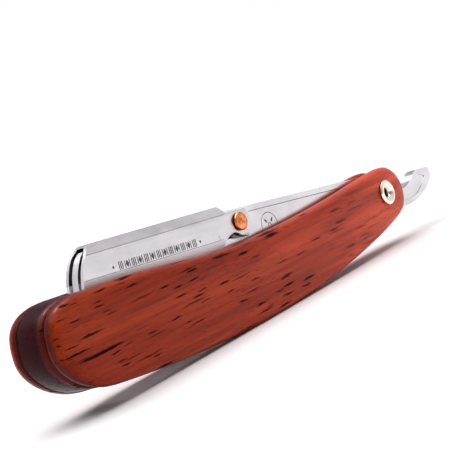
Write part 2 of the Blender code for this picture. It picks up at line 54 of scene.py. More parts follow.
# The razor's own frame
MM = 0.001
RIVET_AT = (-58.4, 3.5)
TILT = math.atan2(HINGE.z - PIVOT.z, PIVOT.x - HINGE.x) - math.atan2(RIVET_AT[1], -RIVET_AT[0])
TURN = Matrix.Rotation(TILT, 4, "Y")
LEVEL = Matrix.Translation(PIVOT) @ TURN @ Matrix.Scale(MM, 4)
THROUGH = 20                     # reach of a cutter that goes right through
CUT_PAST = 5                     # reach of a cutter from the middle plane past the steel

# Handle
TOE_REACH = 126.7
BACK_LOW = -1.37
BACK_LOW_AT = 70.4
BACK_RISE_TO_PIVOT = 8.28
BACK_POWER = 1.55
BACK_RISE_TO_TOE = 0.85
BACK_SWELL_AT = 101.5
BELLY_LOW = -20.95
BELLY_LOW_AT = 93.6
BELLY_RISE = 12.3
BELLY_POWER = 2.15
HEEL_RADIUS = 7.0
HEEL_CENTRE = (3.4, -0.1)
HEEL_ARC = (95, -55)
BACK_SPAN = (0.88, 0.06)         # parts of the toe's reach between which the back's curve is followed
BELLY_SPAN = (0.015, 0.86)
TOE_ROUND_LENGTH = 14.7
TOE_TOP_SQUARENESS = 3.0
TOE_BOTTOM_SQUARENESS = 1.85
SCALE_THICKNESS = 3.7
SLOT_AT_PIVOT = 4.4
SLOT_AT_TOE = 7.7
SPLAY = (SLOT_AT_TOE - SLOT_AT_PIVOT) / 2 / TOE_REACH
OUTER_EDGE_RADIUS = 2.0
NEAR_INNER_RADIUS = 0.8
FAR_INNER_RADIUS = 0.3
FACE_CROWN = 0.22
CROWN_REACH = 2.6                # from the outer round to where the face is level
SPACER_LENGTH = 12.0
SPACER_EDGE_RADIUS = 1.3
SPACER_FAR_RADIUS = 0.3
SPACER_SEAM = 0.08
SPACER_SLANT = 5.0               # how much further back its lower edge runs than its upper one
SPACER_LIFT = 1.0                # how far the end of the lower edge is raised out of sight
GAP = 0.3

# Pivot
EYELET_BORE = 1.1
EYELET_RADIUS = 2.0
EYELET_FLANGE = 3.25
EYELET_FLANGE_HEIGHT = 0.8
WASHER_THICKNESS = 0.35

# Arm
TANG_THICKNESS = 3.0
TANG_FRONT = -62.0
TANG_TOP_FRONT = 6.85
TANG_TOP_SLOPE = -0.0172
TANG_BOTTOM_FRONT = -2.6
TANG_BOTTOM_SLOPE = -0.042
RAIL_HEIGHT = 1.45
WEB_FRONT = -52.8
WEB_BACK = -9.0
WEB_DEPTH = 0.25
CARRIER_THICKNESS = 1.7
CARRIER_SET_BACK = 0.4
CARRIER_ASIDE = 0.35             # the carrier lies a little towards the far wall
CARRIER_BOTTOM = -2.4
CARRIER_STEP_BACK = 1.5          # the carrier's full height ends this far ahead of the tang
TAIL_START = -6
TAIL_TOP = ((2, 4.9), (8.5, 1.9), (12.8, 0.15), (16.5, -0.25), (20.0, 0.95), (22.7, 2.7), (24.8, 3.7))
TAIL_BOTTOM = ((31.4, 3.7), (32.1, 1.6), (29.8, -0.8), (24.9, -3.25), (19.0, -4.8), (12.5, -5.1))

# Cover
COVER_WIDTH = 5.26
COVER_SPINE_WIDTH = 3.5
COVER_EDGE_WIDTH = 4.3
COVER_WALL = 0.8
COVER_FOLD = 0.9
COVER_SPINE_SHEET = 0.5
COVER_BACK = -63.7
COVER_STEP = 1.2
STEP_STEEPNESS = 1.2
SPINE_Z_BACK = 8.15
SPINE_SLOPE = 0.0108
BEVEL_DROP = 2.05
LOWER_BEVEL_Z = 0.45
COVER_BOTTOM = -3.2
NOSE_RADIUS = 12.4
NOSE_CENTRE = (-99.0, -2.5)
NOSE_REACH = NOSE_RADIUS - NOSE_CENTRE[0]
NOSE_TOP_X = -106                # the nose's arc ends at the spine's height here
SCALLOP_FRONT = -65.6
SCALLOP = ((-57.4, 0.15), (-58.6, 0.35), (-60.0, 1.15), (-61.2, 1.4), (-62.6, 1.15), (-64.4, 0.25),
           (-66.0, -1.1), (-67.2, COVER_BOTTOM))
EAR_RADIUS = 4.2
EAR_TOP = 6.2
EAR_END_ANGLE = -62
COVER_LOFT = (-114, -50)         # the cover's section is drawn between these, then cut to its outline
RIVET_RADIUS = 1.2
RIVET_HEAD_RADIUS = 2.15
RIVET_HEAD_HEIGHT = 0.75
BURR_THICKNESS = 0.3

# Half blade and its studs
BLADE_LENGTH = 43.0
BLADE_WIDTH = 11.0
BLADE_EDGE_LENGTH = 37.3
BLADE_THICKNESS = 0.1
BLADE_TAB = 4.2
BLADE_TAB_STEP = 0.8
GRIND_HEIGHT = 0.9
BLADE_BACK_Z = 6.3
BLADE_MIDDLE_X = -86.0
STUD_RADIUS = 1.0
STUD_SPACING = 24.0
STUD_Z = 5.1

# Ornament that is etched on the steel, and fine dark lines of painted shade
BORDER_LEFT = -99.6
BORDER_RIGHT = -75.6
BORDER_Z = 1.65
BORDER_HEIGHT = 1.7
BORDER_MARKS = 13
DIAMOND_HALF_WIDTH = 0.52
BORDER_DOT_RADIUS = 0.3
ROUNDEL_CENTRE = (-45.9, 0.7)
ROUNDEL_RADIUS = 3.2
PATCH_LIFT = 0.002                # the back of an etched patch or painted shade line stands this far off the steel
PATCH_THICKNESS = 0.012

# Camera, in the razor's own frame
CAMERA_AT = (-291.05, -190.0, 2.47)
CAMERA_RIGHT = (0.60759, -0.74208, -0.28311)
CAMERA_UP = (0.18040, -0.21820, 0.95909)
CAMERA_LENS = 101.5
SENSOR_WIDTH = 36.0


# ------------------------------------------------------------ curves

def catmull(p0, p1, p2, p3, share):
    """A point between p1 and p2 of the centripetal Catmull-Rom curve through four points."""
    t1 = math.sqrt((p1 - p0).length)
    t2 = t1 + math.sqrt((p2 - p1).length)
    t3 = t2 + math.sqrt((p3 - p2).length)
    t = t1 + (t2 - t1) * share
    a1 = p0.lerp(p1, t / t1)
    a2 = p1.lerp(p2, (t - t1) / (t2 - t1))
    a3 = p2.lerp(p3, (t - t2) / (t3 - t2))
    b1 = a1.lerp(a2, t / t2)
    b2 = a2.lerp(a3, (t - t1) / (t3 - t1))
    return tuple(b1.lerp(b2, (t - t1) / (t2 - t1)))


def smooth_loop(points, steps):
    """A closed curve through the points."""
    loop = []
    count = len(points)
    for i in range(count):
        p0, p1, p2, p3 = (Vector(points[(i + k - 1) % count]) for k in range(4))
        loop.extend(catmull(p0, p1, p2, p3, k / steps) for k in range(steps))
    return loop


def smooth_run(points, steps):
    """An open curve through the points, ends included."""
    places = [Vector(point) for point in points]
    padded = [2 * places[0] - places[1]] + places + [2 * places[-1] - places[-2]]
    run = []
    for i in range(len(points) - 1):
        p0, p1, p2, p3 = padded[i:i + 4]
        run.extend(catmull(p0, p1, p2, p3, k / steps) for k in range(steps))
    run.append(tuple(points[-1]))
    return run


def arc(centre, radius, start, end, steps):
    """Points of an arc; angles in degrees from +X towards +Z."""
    points = []
    for k in range(steps + 1):
        angle = math.radians(start + (end - start) * k / steps)
        points.append((centre[0] + radius * math.cos(angle), centre[1] + radius * math.sin(angle)))
    return points


def quarter_turn(steps):
    """Evenly spaced angles of a quarter turn, in radians."""
    return [math.radians(90 * k / steps) for k in range(steps + 1)]


def spread(first, last, steps):
    """Evenly spaced values, both ends included."""
    return [first + (last - first) * k / steps for k in range(steps + 1)]


def inset(loop, distance):
    """The clockwise loop moved inwards along its own normals."""
    moved = []
    count = len(loop)
    for i, point in enumerate(loop):
        along = (Vector(loop[(i + 1) % count]) - Vector(loop[i - 1])).normalized()
        moved.append((point[0] + along.y * distance, point[1] - along.x * distance))
    return moved


# ------------------------------------------------------------ meshes

def place(x, y, z):
    return LEVEL @ Vector((x, y, z))


def add_object(name, mesh, angle=35):
    bmesh.ops.recalc_face_normals(mesh, faces=mesh.faces)
    data = bpy.data.meshes.new(name)
    mesh.to_mesh(data)
    mesh.free()
    data.shade_smooth()
    data.set_sharp_from_angle(angle=math.radians(angle))
    thing = bpy.data.objects.new(name, data)
    bpy.context.scene.collection.objects.link(thing)
    return thing


def skin(mesh, rows, closed=True):
    """Quads between successive rows of vertices; closed rows join their last vertex to their first."""
    for low, high in zip(rows, rows[1:]):
        count = len(low)
        for i in range(count if closed else count - 1):
            j = (i + 1) % count
            mesh.faces.new((low[i], low[j], high[j], high[i]))


def solid_from_rings(name, rings, angle=35):
    """A closed solid through rings of points (x, y, z); the first and last are filled."""
    mesh = bmesh.new()
    rows = [[mesh.verts.new(place(*point)) for point in ring] for ring in rings]
    skin(mesh, rows)
    mesh.faces.new(list(reversed(rows[0])))
    mesh.faces.new(rows[-1])
    return add_object(name, mesh, angle)


def prism(name, loop, y_low, y_high):
    return solid_from_rings(name, [[(x, y, z) for x, z in loop] for y in (y_low, y_high)])


def loft_along_x(name, section, x_low, x_high):
    """A closed solid between section(x_low) and section(x_high), each a list of (y, z)."""
    return solid_from_rings(name, [[(x, y, z) for y, z in section(x)] for x in (x_low, x_high)])


def turned_rows(mesh, profile, steps, centre):
    """Rows of vertices: the profile of (radius, y) at each step round an axis across the razor."""
    rows = []
    for k in range(steps):
        angle = 2 * math.pi * k / steps
        row = []
        for radius, y in profile:
            point = place(centre[0] + radius * math.cos(angle), y, centre[1] + radius * math.sin(angle))
            row.append(mesh.verts.new(point))
        rows.append(row)
    return rows


def turned_ring(name, profile, steps, centre=(0, 0)):
    """A ring about an axis across the razor, from a closed profile of (radius, y)."""
    mesh = bmesh.new()
    rows = turned_rows(mesh, profile, steps, centre)
    skin(mesh, rows + [rows[0]])
    return add_object(name, mesh)


def turned_solid(name, profile, steps, centre=(0, 0)):
    """A solid about an axis across the razor, from an open profile whose two ends lie on the axis."""
    mesh = bmesh.new()
    first = mesh.verts.new(place(centre[0], profile[0][1], centre[1]))
    last = mesh.verts.new(place(centre[0], profile[-1][1], centre[1]))
    rows = turned_rows(mesh, profile[1:-1], steps, centre)
    rows.append(rows[0])
    skin(mesh, rows, closed=False)
    for near, far in zip(rows, rows[1:]):
        mesh.faces.new((first, near[0], far[0]))
        mesh.faces.new((last, far[-1], near[-1]))
    return add_object(name, mesh)


def cut(thing, cutters, operation="DIFFERENCE"):
    """Cuts the solid and takes the cutters out of the scene."""
    for cutter in cutters:
        step = thing.modifiers.new(cutter.name, "BOOLEAN")
        step.operation = operation
        step.solver = "EXACT"
        step.object = cutter
    apply_steps(thing)
    for cutter in cutters:
        bpy.data.objects.remove(cutter)


def apply_steps(thing):
    graph = bpy.context.evaluated_depsgraph_get()
    graph.update()
    data = bpy.data.meshes.new_from_object(thing.evaluated_get(graph))
    thing.modifiers.clear()
    thing.data = data


def paint(thing, material):
    """Gives the piece its one material."""
    thing.data.materials.clear()
    thing.data.materials.append(material)
    return thing


def flatten_wide_faces(thing, area=60.0):
    """Faces above an area in square millimetres keep their true flat shading."""
    for face in thing.data.polygons:
        if face.area > area * MM ** 2:
            face.use_smooth = False


def soften_edges(thing, width, segments=2, angle=28):
    """Small rounded edges, as tumbled or polished metal has."""
    step = thing.modifiers.new("edges", "BEVEL")
    step.width = width * MM
    step.segments = segments
    step.limit_method = "ANGLE"
    step.angle_limit = math.radians(angle)
    step.harden_normals = True
    step.use_clamp_overlap = True
    apply_steps(thing)


def bore(name, centre, radius, reach, steps=40):
    return turned_solid(name, [(0, -reach), (radius, -reach), (radius, reach), (0, reach)], steps, centre)


# ------------------------------------------------------------ shader helpers

def new_material(name):
    material = bpy.data.materials.new(name)
    material.use_nodes = True
    return material, material.node_tree, material.node_tree.nodes["Principled BSDF"]


def add_node(tree, kind, inputs=None, **settings):
    """A shader node with its settings; inputs that are sockets get linked."""
    made = tree.nodes.new(kind)
    for key, value in settings.items():
        setattr(made, key, value)
    for key, value in (inputs or {}).items():
        if isinstance(value, bpy.types.NodeSocket):
            tree.links.new(value, made.inputs[key])
        else:
            made.inputs[key].default_value = value
    return made


def level_coordinates(tree, turn=0.0):
    """Object coordinates as millimetres of the razor's own frame, turned in its side view by an angle."""
    source = add_node(tree, "ShaderNodeTexCoord").outputs["Object"]
    rotation = Matrix.Rotation(-TILT + turn, 4, "Y")
    offset = -(rotation @ (PIVOT / MM))
    mapped = add_node(tree, "ShaderNodeMapping", {
        "Vector": source, "Location": offset, "Rotation": (0, -TILT + turn, 0), "Scale": (1 / MM,) * 3})
    return mapped.outputs["Vector"]


def stretched(tree, vector, scale):
    return add_node(tree, "ShaderNodeMapping", {"Vector": vector, "Scale": scale}).outputs["Vector"]


def ramp(tree, value, stops):
    """A colour ramp; stops are (position, (r, g, b)) or (position, grey)."""
    made = add_node(tree, "ShaderNodeValToRGB", {"Fac": value})
    elements = made.color_ramp.elements
    while len(elements) < len(stops):
        elements.new(0.5)
    for element, (position, colour) in zip(elements, stops):
        element.position = position
        element.color = (*colour, 1) if isinstance(colour, tuple) else (colour, colour, colour, 1)
    return made.outputs["Color"]


def noise(tree, vector, scale=1.0, detail=3.0, roughness=0.5, distortion=0.0):
    return add_node(tree, "ShaderNodeTexNoise", {
        "Vector": vector, "Scale": scale, "Detail": detail, "Roughness": roughness,
        "Distortion": distortion}).outputs["Fac"]


def maths(tree, operation, first, second=0.0, clamp=False):
    made = add_node(tree, "ShaderNodeMath", {0: first, 1: second}, operation=operation, use_clamp=clamp)
    return made.outputs["Value"]


def mix_colour(tree, factor, first, second, blend="MIX"):
    made = add_node(tree, "ShaderNodeMix", data_type="RGBA", blend_type=blend)
    for socket, value in (("Factor_Float", factor), ("A_Color", first), ("B_Color", second)):
        target = next(s for s in made.inputs if s.identifier == socket)
        if isinstance(value, bpy.types.NodeSocket):
            tree.links.new(value, target)
        elif isinstance(value, tuple):
            target.default_value = (*value, 1)
        else:
            target.default_value = value
    return next(s for s in made.outputs if s.identifier == "Result_Color")


def bump(tree, height, strength, distance, normal=None):
    inputs = {"Height": height, "Strength": strength, "Distance": distance * MM}
    if normal is not None:
        inputs["Normal"] = normal
    return add_node(tree, "ShaderNodeBump", inputs).outputs["Normal"]


# ------------------------------------------------------------ materials

GRAIN_TURN = math.radians(4.5)
RED_TONES = ((0.50, 0.049, 0.020), (0.72, 0.079, 0.034), (0.92, 0.132, 0.054))
# the spacer's darker wood, darkened further as painted shade on the toe's end
TOE_TONES_WITH_SHADE = ((0.17, 0.020, 0.028), (0.23, 0.026, 0.036), (0.30, 0.038, 0.050))
TONE_DEPTH = [(0.0, (0.45, 0.37, 0.23)), (0.42, (0.54, 0.42, 0.26)), (1.0, (1.0, 1.0, 1.0))]
DARK_RED = (0.10, 0.011, 0.008)
PORE_COLOUR = tuple(channel * 0.18 for channel in DARK_RED)
# colour of the dark band at the toe: partly the toe's own dark band, partly painted shade in the creases
# beside the spacer
TOE_DARK_AND_SHADE = (0.050, 0.009, 0.026)
BAND_FULL_AT = -114.0             # the dark band and its painted shade are full from here to the toe
BAND_FADED_AT = -104.0


def wood_material(name, tones, pore_share, toe_band, marks=()):
    """Oiled, polished reddish wood: drifting tone, long streaks, and short dark pores along the grain.

    The tone deepens from the pivot towards the toe, and the pores grow stronger.
    The toe's dark band is given as (side, first depth, last depth, strength): partly the toe's own dark band,
    partly painted shade on the toe's end and in the creases beside the spacer.
    marks are long dark streaks, each (centre x, centre z, half length, half height) along the grain.
    """
    material, tree, shader = new_material(name)
    grain = level_coordinates(tree, GRAIN_TURN)
    along = add_node(tree, "ShaderNodeSeparateXYZ", {"Vector": grain}).outputs["X"]
    from_toe = maths(tree, "DIVIDE", maths(tree, "ADD", along, TOE_REACH), TOE_REACH, clamp=True)
    streak = noise(tree, stretched(tree, grain, (0.035, 1.1, 1.1)), detail=5.0, roughness=0.62)
    fibre = noise(tree, stretched(tree, grain, (0.3, 7.0, 9.0)), detail=4.0, roughness=0.7)
    # dark band at the toe, partly the toe's own and partly painted shade in the creases beside the spacer
    dark_band_and_shade = band_and_shade_at_toe(tree, *toe_band)
    timber = mix_colour(tree, dark_band_and_shade, wood_ground(tree, grain, streak, fibre, tones), TOE_DARK_AND_SHADE)
    pores, fine_pores = wood_pores(tree, grain, from_toe, pore_share, marks)
    pored = mix_colour(tree, maths(tree, "MULTIPLY", pores, 0.96), timber, PORE_COLOUR)
    pored = mix_colour(tree, fine_pores, pored, PORE_COLOUR)
    deepened = mix_colour(tree, 1.0, pored, ramp(tree, from_toe, TONE_DEPTH), "MULTIPLY")
    tree.links.new(deepened, shader.inputs["Base Color"])

    height = maths(tree, "SUBTRACT", maths(tree, "MULTIPLY", fibre, 0.12), pores)
    sanded = noise(tree, stretched(tree, grain, (0.06, 0.2, 0.2)), detail=1.0)
    rolling = bump(tree, sanded, 0.35, 0.10)
    tree.links.new(bump(tree, height, 0.25, 0.05, rolling), shader.inputs["Normal"])
    gloss = ramp(tree, streak, [(0.3, 0.24), (0.8, 0.34)])
    roughness = maths(tree, "ADD", gloss, maths(tree, "MULTIPLY", pores, 0.3))
    tree.links.new(roughness, shader.inputs["Roughness"])
    matt = maths(tree, "MULTIPLY", maths(tree, "MAXIMUM", pores, dark_band_and_shade), 0.16)
    tree.links.new(maths(tree, "SUBTRACT", 0.20, matt), shader.inputs["Specular IOR Level"])
    shader.inputs["Specular Tint"].default_value = (1.0, 0.32, 0.22, 1.0)
    shader.inputs["Coat Weight"].default_value = 0.02
    shader.inputs["Coat Roughness"].default_value = 0.10
    return material


def wood_ground(tree, grain, streak, fibre, tones):
    """The wood's colour without its pores: slow drift between three tones, with dark streaks and fibres."""
    drift = noise(tree, stretched(tree, grain, (0.012, 0.25, 0.16)), detail=4.0, distortion=0.6)
    base = ramp(tree, drift, [(0.30, tones[0]), (0.50, tones[1]), (0.70, tones[2])])
    streaked = mix_colour(tree, ramp(tree, streak, [(0.42, 0.0), (0.72, 0.6)]), base, DARK_RED)
    return mix_colour(tree, ramp(tree, fibre, [(0.40, 0.0), (0.80, 0.32)]), streaked, DARK_RED)


def wood_pores(tree, grain, from_toe, share, marks):
    """Masks of the bold pores, which fade towards the pivot, and of the fine ones."""
    ragged = ragged_field(tree, grain, 0.5)
    wander = noise(tree, stretched(tree, grain, (0.018, 0.1, 0.06)), detail=2.0)
    wide_pores = pore_mask(tree, stretched(tree, ragged, (0.105, 0.5, 0.92)), wander, share)
    thin_pores = pore_mask(tree, stretched(tree, ragged, (0.055, 0.4, 1.15)), wander, share * 0.85)
    pores = maths(tree, "MAXIMUM", wide_pores, thin_pores)
    for mark in marks:
        pores = maths(tree, "MAXIMUM", pores, long_mark(tree, ragged, *mark))
    pores = maths(tree, "MULTIPLY", pores, ramp(tree, from_toe, [(0.68, 1.0), (0.90, 0.40)]))
    fine_pores = pore_mask(tree, stretched(tree, ragged, (0.30, 1.2, 2.6)), wander, share)
    return pores, maths(tree, "MULTIPLY", fine_pores, 0.5)


def ragged_field(tree, grain, reach):
    """The grain's coordinates with a small ripple across the fibres, so that pores get broken edges."""
    ripple = noise(tree, stretched(tree, grain, (0.55, 0.9, 1.3)), detail=2.0)
    shift = maths(tree, "MULTIPLY", maths(tree, "SUBTRACT", ripple, 0.5), reach)
    aside = add_node(tree, "ShaderNodeCombineXYZ", {"Z": shift}).outputs["Vector"]
    return add_node(tree, "ShaderNodeVectorMath", {0: grain, 1: aside}, operation="ADD").outputs["Vector"]


def long_mark(tree, grain, centre_x, centre_z, half_length, half_height):
    """A long lens-shaped dark streak in the side view."""
    placed = add_node(tree, "ShaderNodeMapping", {
        "Vector": grain, "Scale": (1 / half_length, 0, 1 / half_height),
        "Location": (-centre_x / half_length, 0, -centre_z / half_height)}).outputs["Vector"]
    reach = add_node(tree, "ShaderNodeVectorMath", {0: placed}, operation="LENGTH").outputs["Value"]
    return ramp(tree, maths(tree, "SUBTRACT", 1.0, reach, clamp=True), [(0.0, 0.0), (0.3, 1.0)])


def band_and_shade_at_toe(tree, side, first, last, strength):
    """Dark band at the toe, partly the toe's own and partly painted shade; it grows from none at the first
    depth to its full strength at the last.
    """
    parts = add_node(tree, "ShaderNodeSeparateXYZ", {"Vector": level_coordinates(tree)}).outputs
    splayed = maths(tree, "MULTIPLY", parts["X"], side * SPLAY)
    across = eased_range(tree, maths(tree, "ADD", parts["Y"], splayed), first, last, strength)
    return maths(tree, "MULTIPLY", across, eased_range(tree, parts["X"], BAND_FADED_AT, BAND_FULL_AT, 1.0))


def eased_range(tree, value, low, high, result):
    """Nothing at the low value, growing smoothly to the result at the high one."""
    made = add_node(tree, "ShaderNodeMapRange", {
        "Value": value, "From Min": low, "From Max": high, "To Min": 0.0, "To Max": result},
        interpolation_type="SMOOTHSTEP")
    return made.outputs["Result"]


def pore_mask(tree, field, wander, share):
    """Lens-shaped pores: a share of the cells of a stretched field, each with its own size."""
    cells = add_node(tree, "ShaderNodeTexVoronoi", {"Vector": field, "Scale": 1.0, "Randomness": 1.0})
    chosen = add_node(tree, "ShaderNodeSeparateColor", {"Color": cells.outputs["Color"]})
    crowd = maths(tree, "MULTIPLY", wander, 0.5)
    present = maths(tree, "LESS_THAN", maths(tree, "SUBTRACT", chosen.outputs["Red"], crowd), share - 0.25)
    reach = maths(tree, "ADD", maths(tree, "MULTIPLY", chosen.outputs["Green"], 0.24), 0.14)
    outwards = maths(tree, "DIVIDE", cells.outputs["Distance"], reach)
    inside = maths(tree, "SUBTRACT", 1.0, outwards, clamp=True)
    soft = ramp(tree, inside, [(0.0, 0.0), (0.5, 1.0)])
    return maths(tree, "MULTIPLY", soft, present)


def steel_material(name, tone, roughness, brush, satin_and_highlight_below=None):
    """Polished stainless steel with fine lines along the razor and faint smears.

    Below the given height the steel is ground to a dull finish, rougher and less metallic, and paler: partly
    that finish, partly painted highlight on the cover's lower bevel.
    """
    material, tree, shader = new_material(name)
    level = level_coordinates(tree)
    lines = noise(tree, stretched(tree, level, brush), detail=4.0, roughness=0.7)
    smears = noise(tree, stretched(tree, level, (0.09, 0.2, 0.22)), detail=3.0, distortion=0.8)
    dim = (tone * 0.86, tone * 0.83, tone * 0.86)
    bright = (tone * 1.06, tone * 1.03, tone * 1.05)
    slow = ramp(tree, smears, [(0.33, dim), (0.62, bright)])
    colour = mix_colour(tree, ramp(tree, lines, [(0.45, 0.0), (0.9, 0.35)]), slow, (tone * 0.6,) * 3)
    dull = maths(tree, "ADD", maths(tree, "MULTIPLY", smears, 0.14), roughness - 0.07)
    if satin_and_highlight_below is None:
        shader.inputs["Metallic"].default_value = 1.0
    else:
        height = add_node(tree, "ShaderNodeSeparateXYZ", {"Vector": level}).outputs["Z"]
        # paler, duller steel below the height: partly its ground finish, partly painted highlight on the
        # lower bevel
        satin_highlight = maths(tree, "LESS_THAN", height, satin_and_highlight_below)
        colour = mix_colour(tree, satin_highlight, colour, (0.88, 0.86, 0.88))
        dull = maths(tree, "ADD", dull, maths(tree, "MULTIPLY", satin_highlight, 0.2))
        metallic = maths(tree, "SUBTRACT", 1.0, maths(tree, "MULTIPLY", satin_highlight, 0.75))
        tree.links.new(metallic, shader.inputs["Metallic"])
    tree.links.new(colour, shader.inputs["Base Color"])
    dull = maths(tree, "ADD", dull, maths(tree, "MULTIPLY", lines, 0.08))
    tree.links.new(dull, shader.inputs["Roughness"])
    waves = noise(tree, stretched(tree, level, (0.05, 0.1, 0.16)), detail=1.0)
    rolled = bump(tree, waves, 0.35, 0.10)
    tree.links.new(bump(tree, lines, 0.10, 0.01, rolled), shader.inputs["Normal"])
    return material


def copper_material():
    """Copper rivet: bright worn crown, with darker red-brown tarnish in patches."""
    material, tree, shader = new_material("worn_copper")
    level = level_coordinates(tree)
    patches = noise(tree, stretched(tree, level, (0.9, 0.9, 0.9)), detail=5.0, roughness=0.65)
    colour = ramp(tree, patches, [
        (0.34, (0.36, 0.09, 0.035)), (0.5, (0.80, 0.26, 0.10)), (0.68, (0.94, 0.40, 0.18))])
    tree.links.new(colour, shader.inputs["Base Color"])
    tree.links.new(ramp(tree, patches, [(0.3, 0.42), (0.7, 0.2)]), shader.inputs["Roughness"])
    hammer = noise(tree, stretched(tree, level, (1.6, 1.6, 1.6)), detail=2.0)
    tree.links.new(bump(tree, hammer, 0.5, 0.08), shader.inputs["Normal"])
    shader.inputs["Metallic"].default_value = 1.0
    return material


def nickel_material():
    """Nickel-plated brass, slightly warm where the plating is thin."""
    material, tree, shader = new_material("nickel_plate")
    level = level_coordinates(tree)
    worn = noise(tree, stretched(tree, level, (0.7, 0.7, 0.7)), detail=4.0)
    colour = ramp(tree, worn, [
        (0.38, (0.84, 0.76, 0.60)), (0.56, (0.88, 0.84, 0.76)), (0.7, (0.90, 0.87, 0.83))])
    tree.links.new(colour, shader.inputs["Base Color"])
    tree.links.new(ramp(tree, worn, [(0.3, 0.26), (0.7, 0.14)]), shader.inputs["Roughness"])
    fine = noise(tree, stretched(tree, level, (3.0, 3.0, 3.0)), detail=3.0)
    tree.links.new(bump(tree, fine, 0.2, 0.02), shader.inputs["Normal"])
    shader.inputs["Metallic"].default_value = 1.0
    return material


def etched_and_shade_material():
    """Dark laser-etched oxide on steel; also the fine dark lines of painted shade."""
    material, tree, shader = new_material("etched_steel_and_shade")
    level = level_coordinates(tree)
    speckle = noise(tree, stretched(tree, level, (5.0, 5.0, 5.0)), detail=4.0)
    tree.links.new(ramp(tree, speckle, [(0.3, (0.05, 0.05, 0.055)), (0.75, (0.16, 0.155, 0.16))]),
                   shader.inputs["Base Color"])
    tree.links.new(ramp(tree, speckle, [(0.3, 0.62), (0.7, 0.45)]), shader.inputs["Roughness"])
    shader.inputs["Metallic"].default_value = 0.6
    return material


# ------------------------------------------------------------ handle

def back_height(distance):
    """Height of the handle's top edge at a distance from the pivot towards the toe."""
    if distance < BACK_LOW_AT:
        return BACK_LOW + BACK_RISE_TO_PIVOT * (1 - distance / BACK_LOW_AT) ** BACK_POWER
    share = (distance - BACK_LOW_AT) / (BACK_SWELL_AT - BACK_LOW_AT)
    return BACK_LOW + BACK_RISE_TO_TOE * (1 - math.cos(math.pi * share)) / 2


def belly_height(distance):
    share = abs(distance - BELLY_LOW_AT) / BELLY_LOW_AT
    return BELLY_LOW + BELLY_RISE * share ** BELLY_POWER


def toe_end(steps):
    """The rounded toe, from its top corner round to its bottom corner."""
    start = TOE_REACH - TOE_ROUND_LENGTH
    top = back_height(start)
    bottom = belly_height(start)
    half = (top - bottom) / 2
    points = []
    for k in range(1, steps):
        angle = math.pi * k / steps
        power = 2 / (TOE_TOP_SQUARENESS if angle < math.pi / 2 else TOE_BOTTOM_SQUARENESS)
        x = -start - TOE_ROUND_LENGTH * abs(math.sin(angle)) ** power
        rise = math.copysign(abs(math.cos(angle)) ** power, math.cos(angle))
        points.append((x, (top + bottom) / 2 + half * rise))
    return points


def handle_outline(steps=5):
    """Side outline of the handle, clockwise as seen from the near side."""
    keys = [(-TOE_REACH * share, back_height(TOE_REACH * share)) for share in spread(*BACK_SPAN, 8)]
    keys += arc(HEEL_CENTRE, HEEL_RADIUS, *HEEL_ARC, 7)
    keys += [(-TOE_REACH * share, belly_height(TOE_REACH * share)) for share in spread(*BELLY_SPAN, 9)]
    keys += list(reversed(toe_end(14)))
    return smooth_loop(keys, steps)


def scale_ring(outline, side, depth, y):
    """A ring of the scale, inset by depth, at y from the middle plane before the splay."""
    return [(x, side * (y - SPLAY * x), z) for x, z in inset(outline, depth)]


def make_scale(name, side, outline, inner_radius, material):
    """A wooden scale: small round on the inner edge, large round outside, and a slightly crowned face."""
    inner = SLOT_AT_PIVOT / 2
    outer = inner + SCALE_THICKNESS
    rings = []
    for angle in quarter_turn(4):
        y = inner + inner_radius * (1 - math.cos(angle))
        rings.append(scale_ring(outline, side, inner_radius * (1 - math.sin(angle)), y))
    for angle in quarter_turn(8):
        y = outer - FACE_CROWN - OUTER_EDGE_RADIUS * (1 - math.sin(angle))
        rings.append(scale_ring(outline, side, OUTER_EDGE_RADIUS * (1 - math.cos(angle)), y))
    for share in (0.35, 0.7, 1.0):
        y = outer - FACE_CROWN + FACE_CROWN * (1 - (1 - share) ** 2)
        rings.append(scale_ring(outline, side, OUTER_EDGE_RADIUS + CROWN_REACH * share, y))
    scale = solid_from_rings(name, rings)
    cut(scale, [bore("bore", (0, 0), EYELET_RADIUS + GAP, THROUGH)])
    flatten_wide_faces(scale)
    return paint(scale, material)


def spacer_loop(outline):
    """The toe's part of the handle's outline, with its lower edge raised behind the near scale."""
    front = -(TOE_REACH - SPACER_LENGTH)
    loop = []
    for x, z in outline:
        if z >= BELLY_LOW / 2:
            if x < front:
                loop.append((x, z))
        elif x < front + SPACER_SLANT:
            share = max(0.0, (x - front + SPACER_SLANT) / (2 * SPACER_SLANT))
            loop.append((x, z + SPACER_LIFT * share ** 2))
    return loop


def make_spacer(outline, material):
    """The dark wedge between the scales at the toe, with rounded edges."""
    loop = spacer_loop(outline)
    half = SLOT_AT_PIVOT / 2 - SPACER_SEAM
    rings = []
    for angle in quarter_turn(6):
        depth = SPACER_EDGE_RADIUS * (1 - math.sin(angle))
        rings.append(scale_ring(loop, -1, depth, half - SPACER_EDGE_RADIUS * (1 - math.cos(angle))))
    for angle in quarter_turn(4):
        depth = SPACER_FAR_RADIUS * (1 - math.cos(angle))
        rings.append(scale_ring(loop, 1, depth, half - SPACER_FAR_RADIUS * (1 - math.sin(angle))))
    spacer = solid_from_rings("toe_spacer_wood", rings)
    return paint(spacer, material)


# ------------------------------------------------------------ pivot

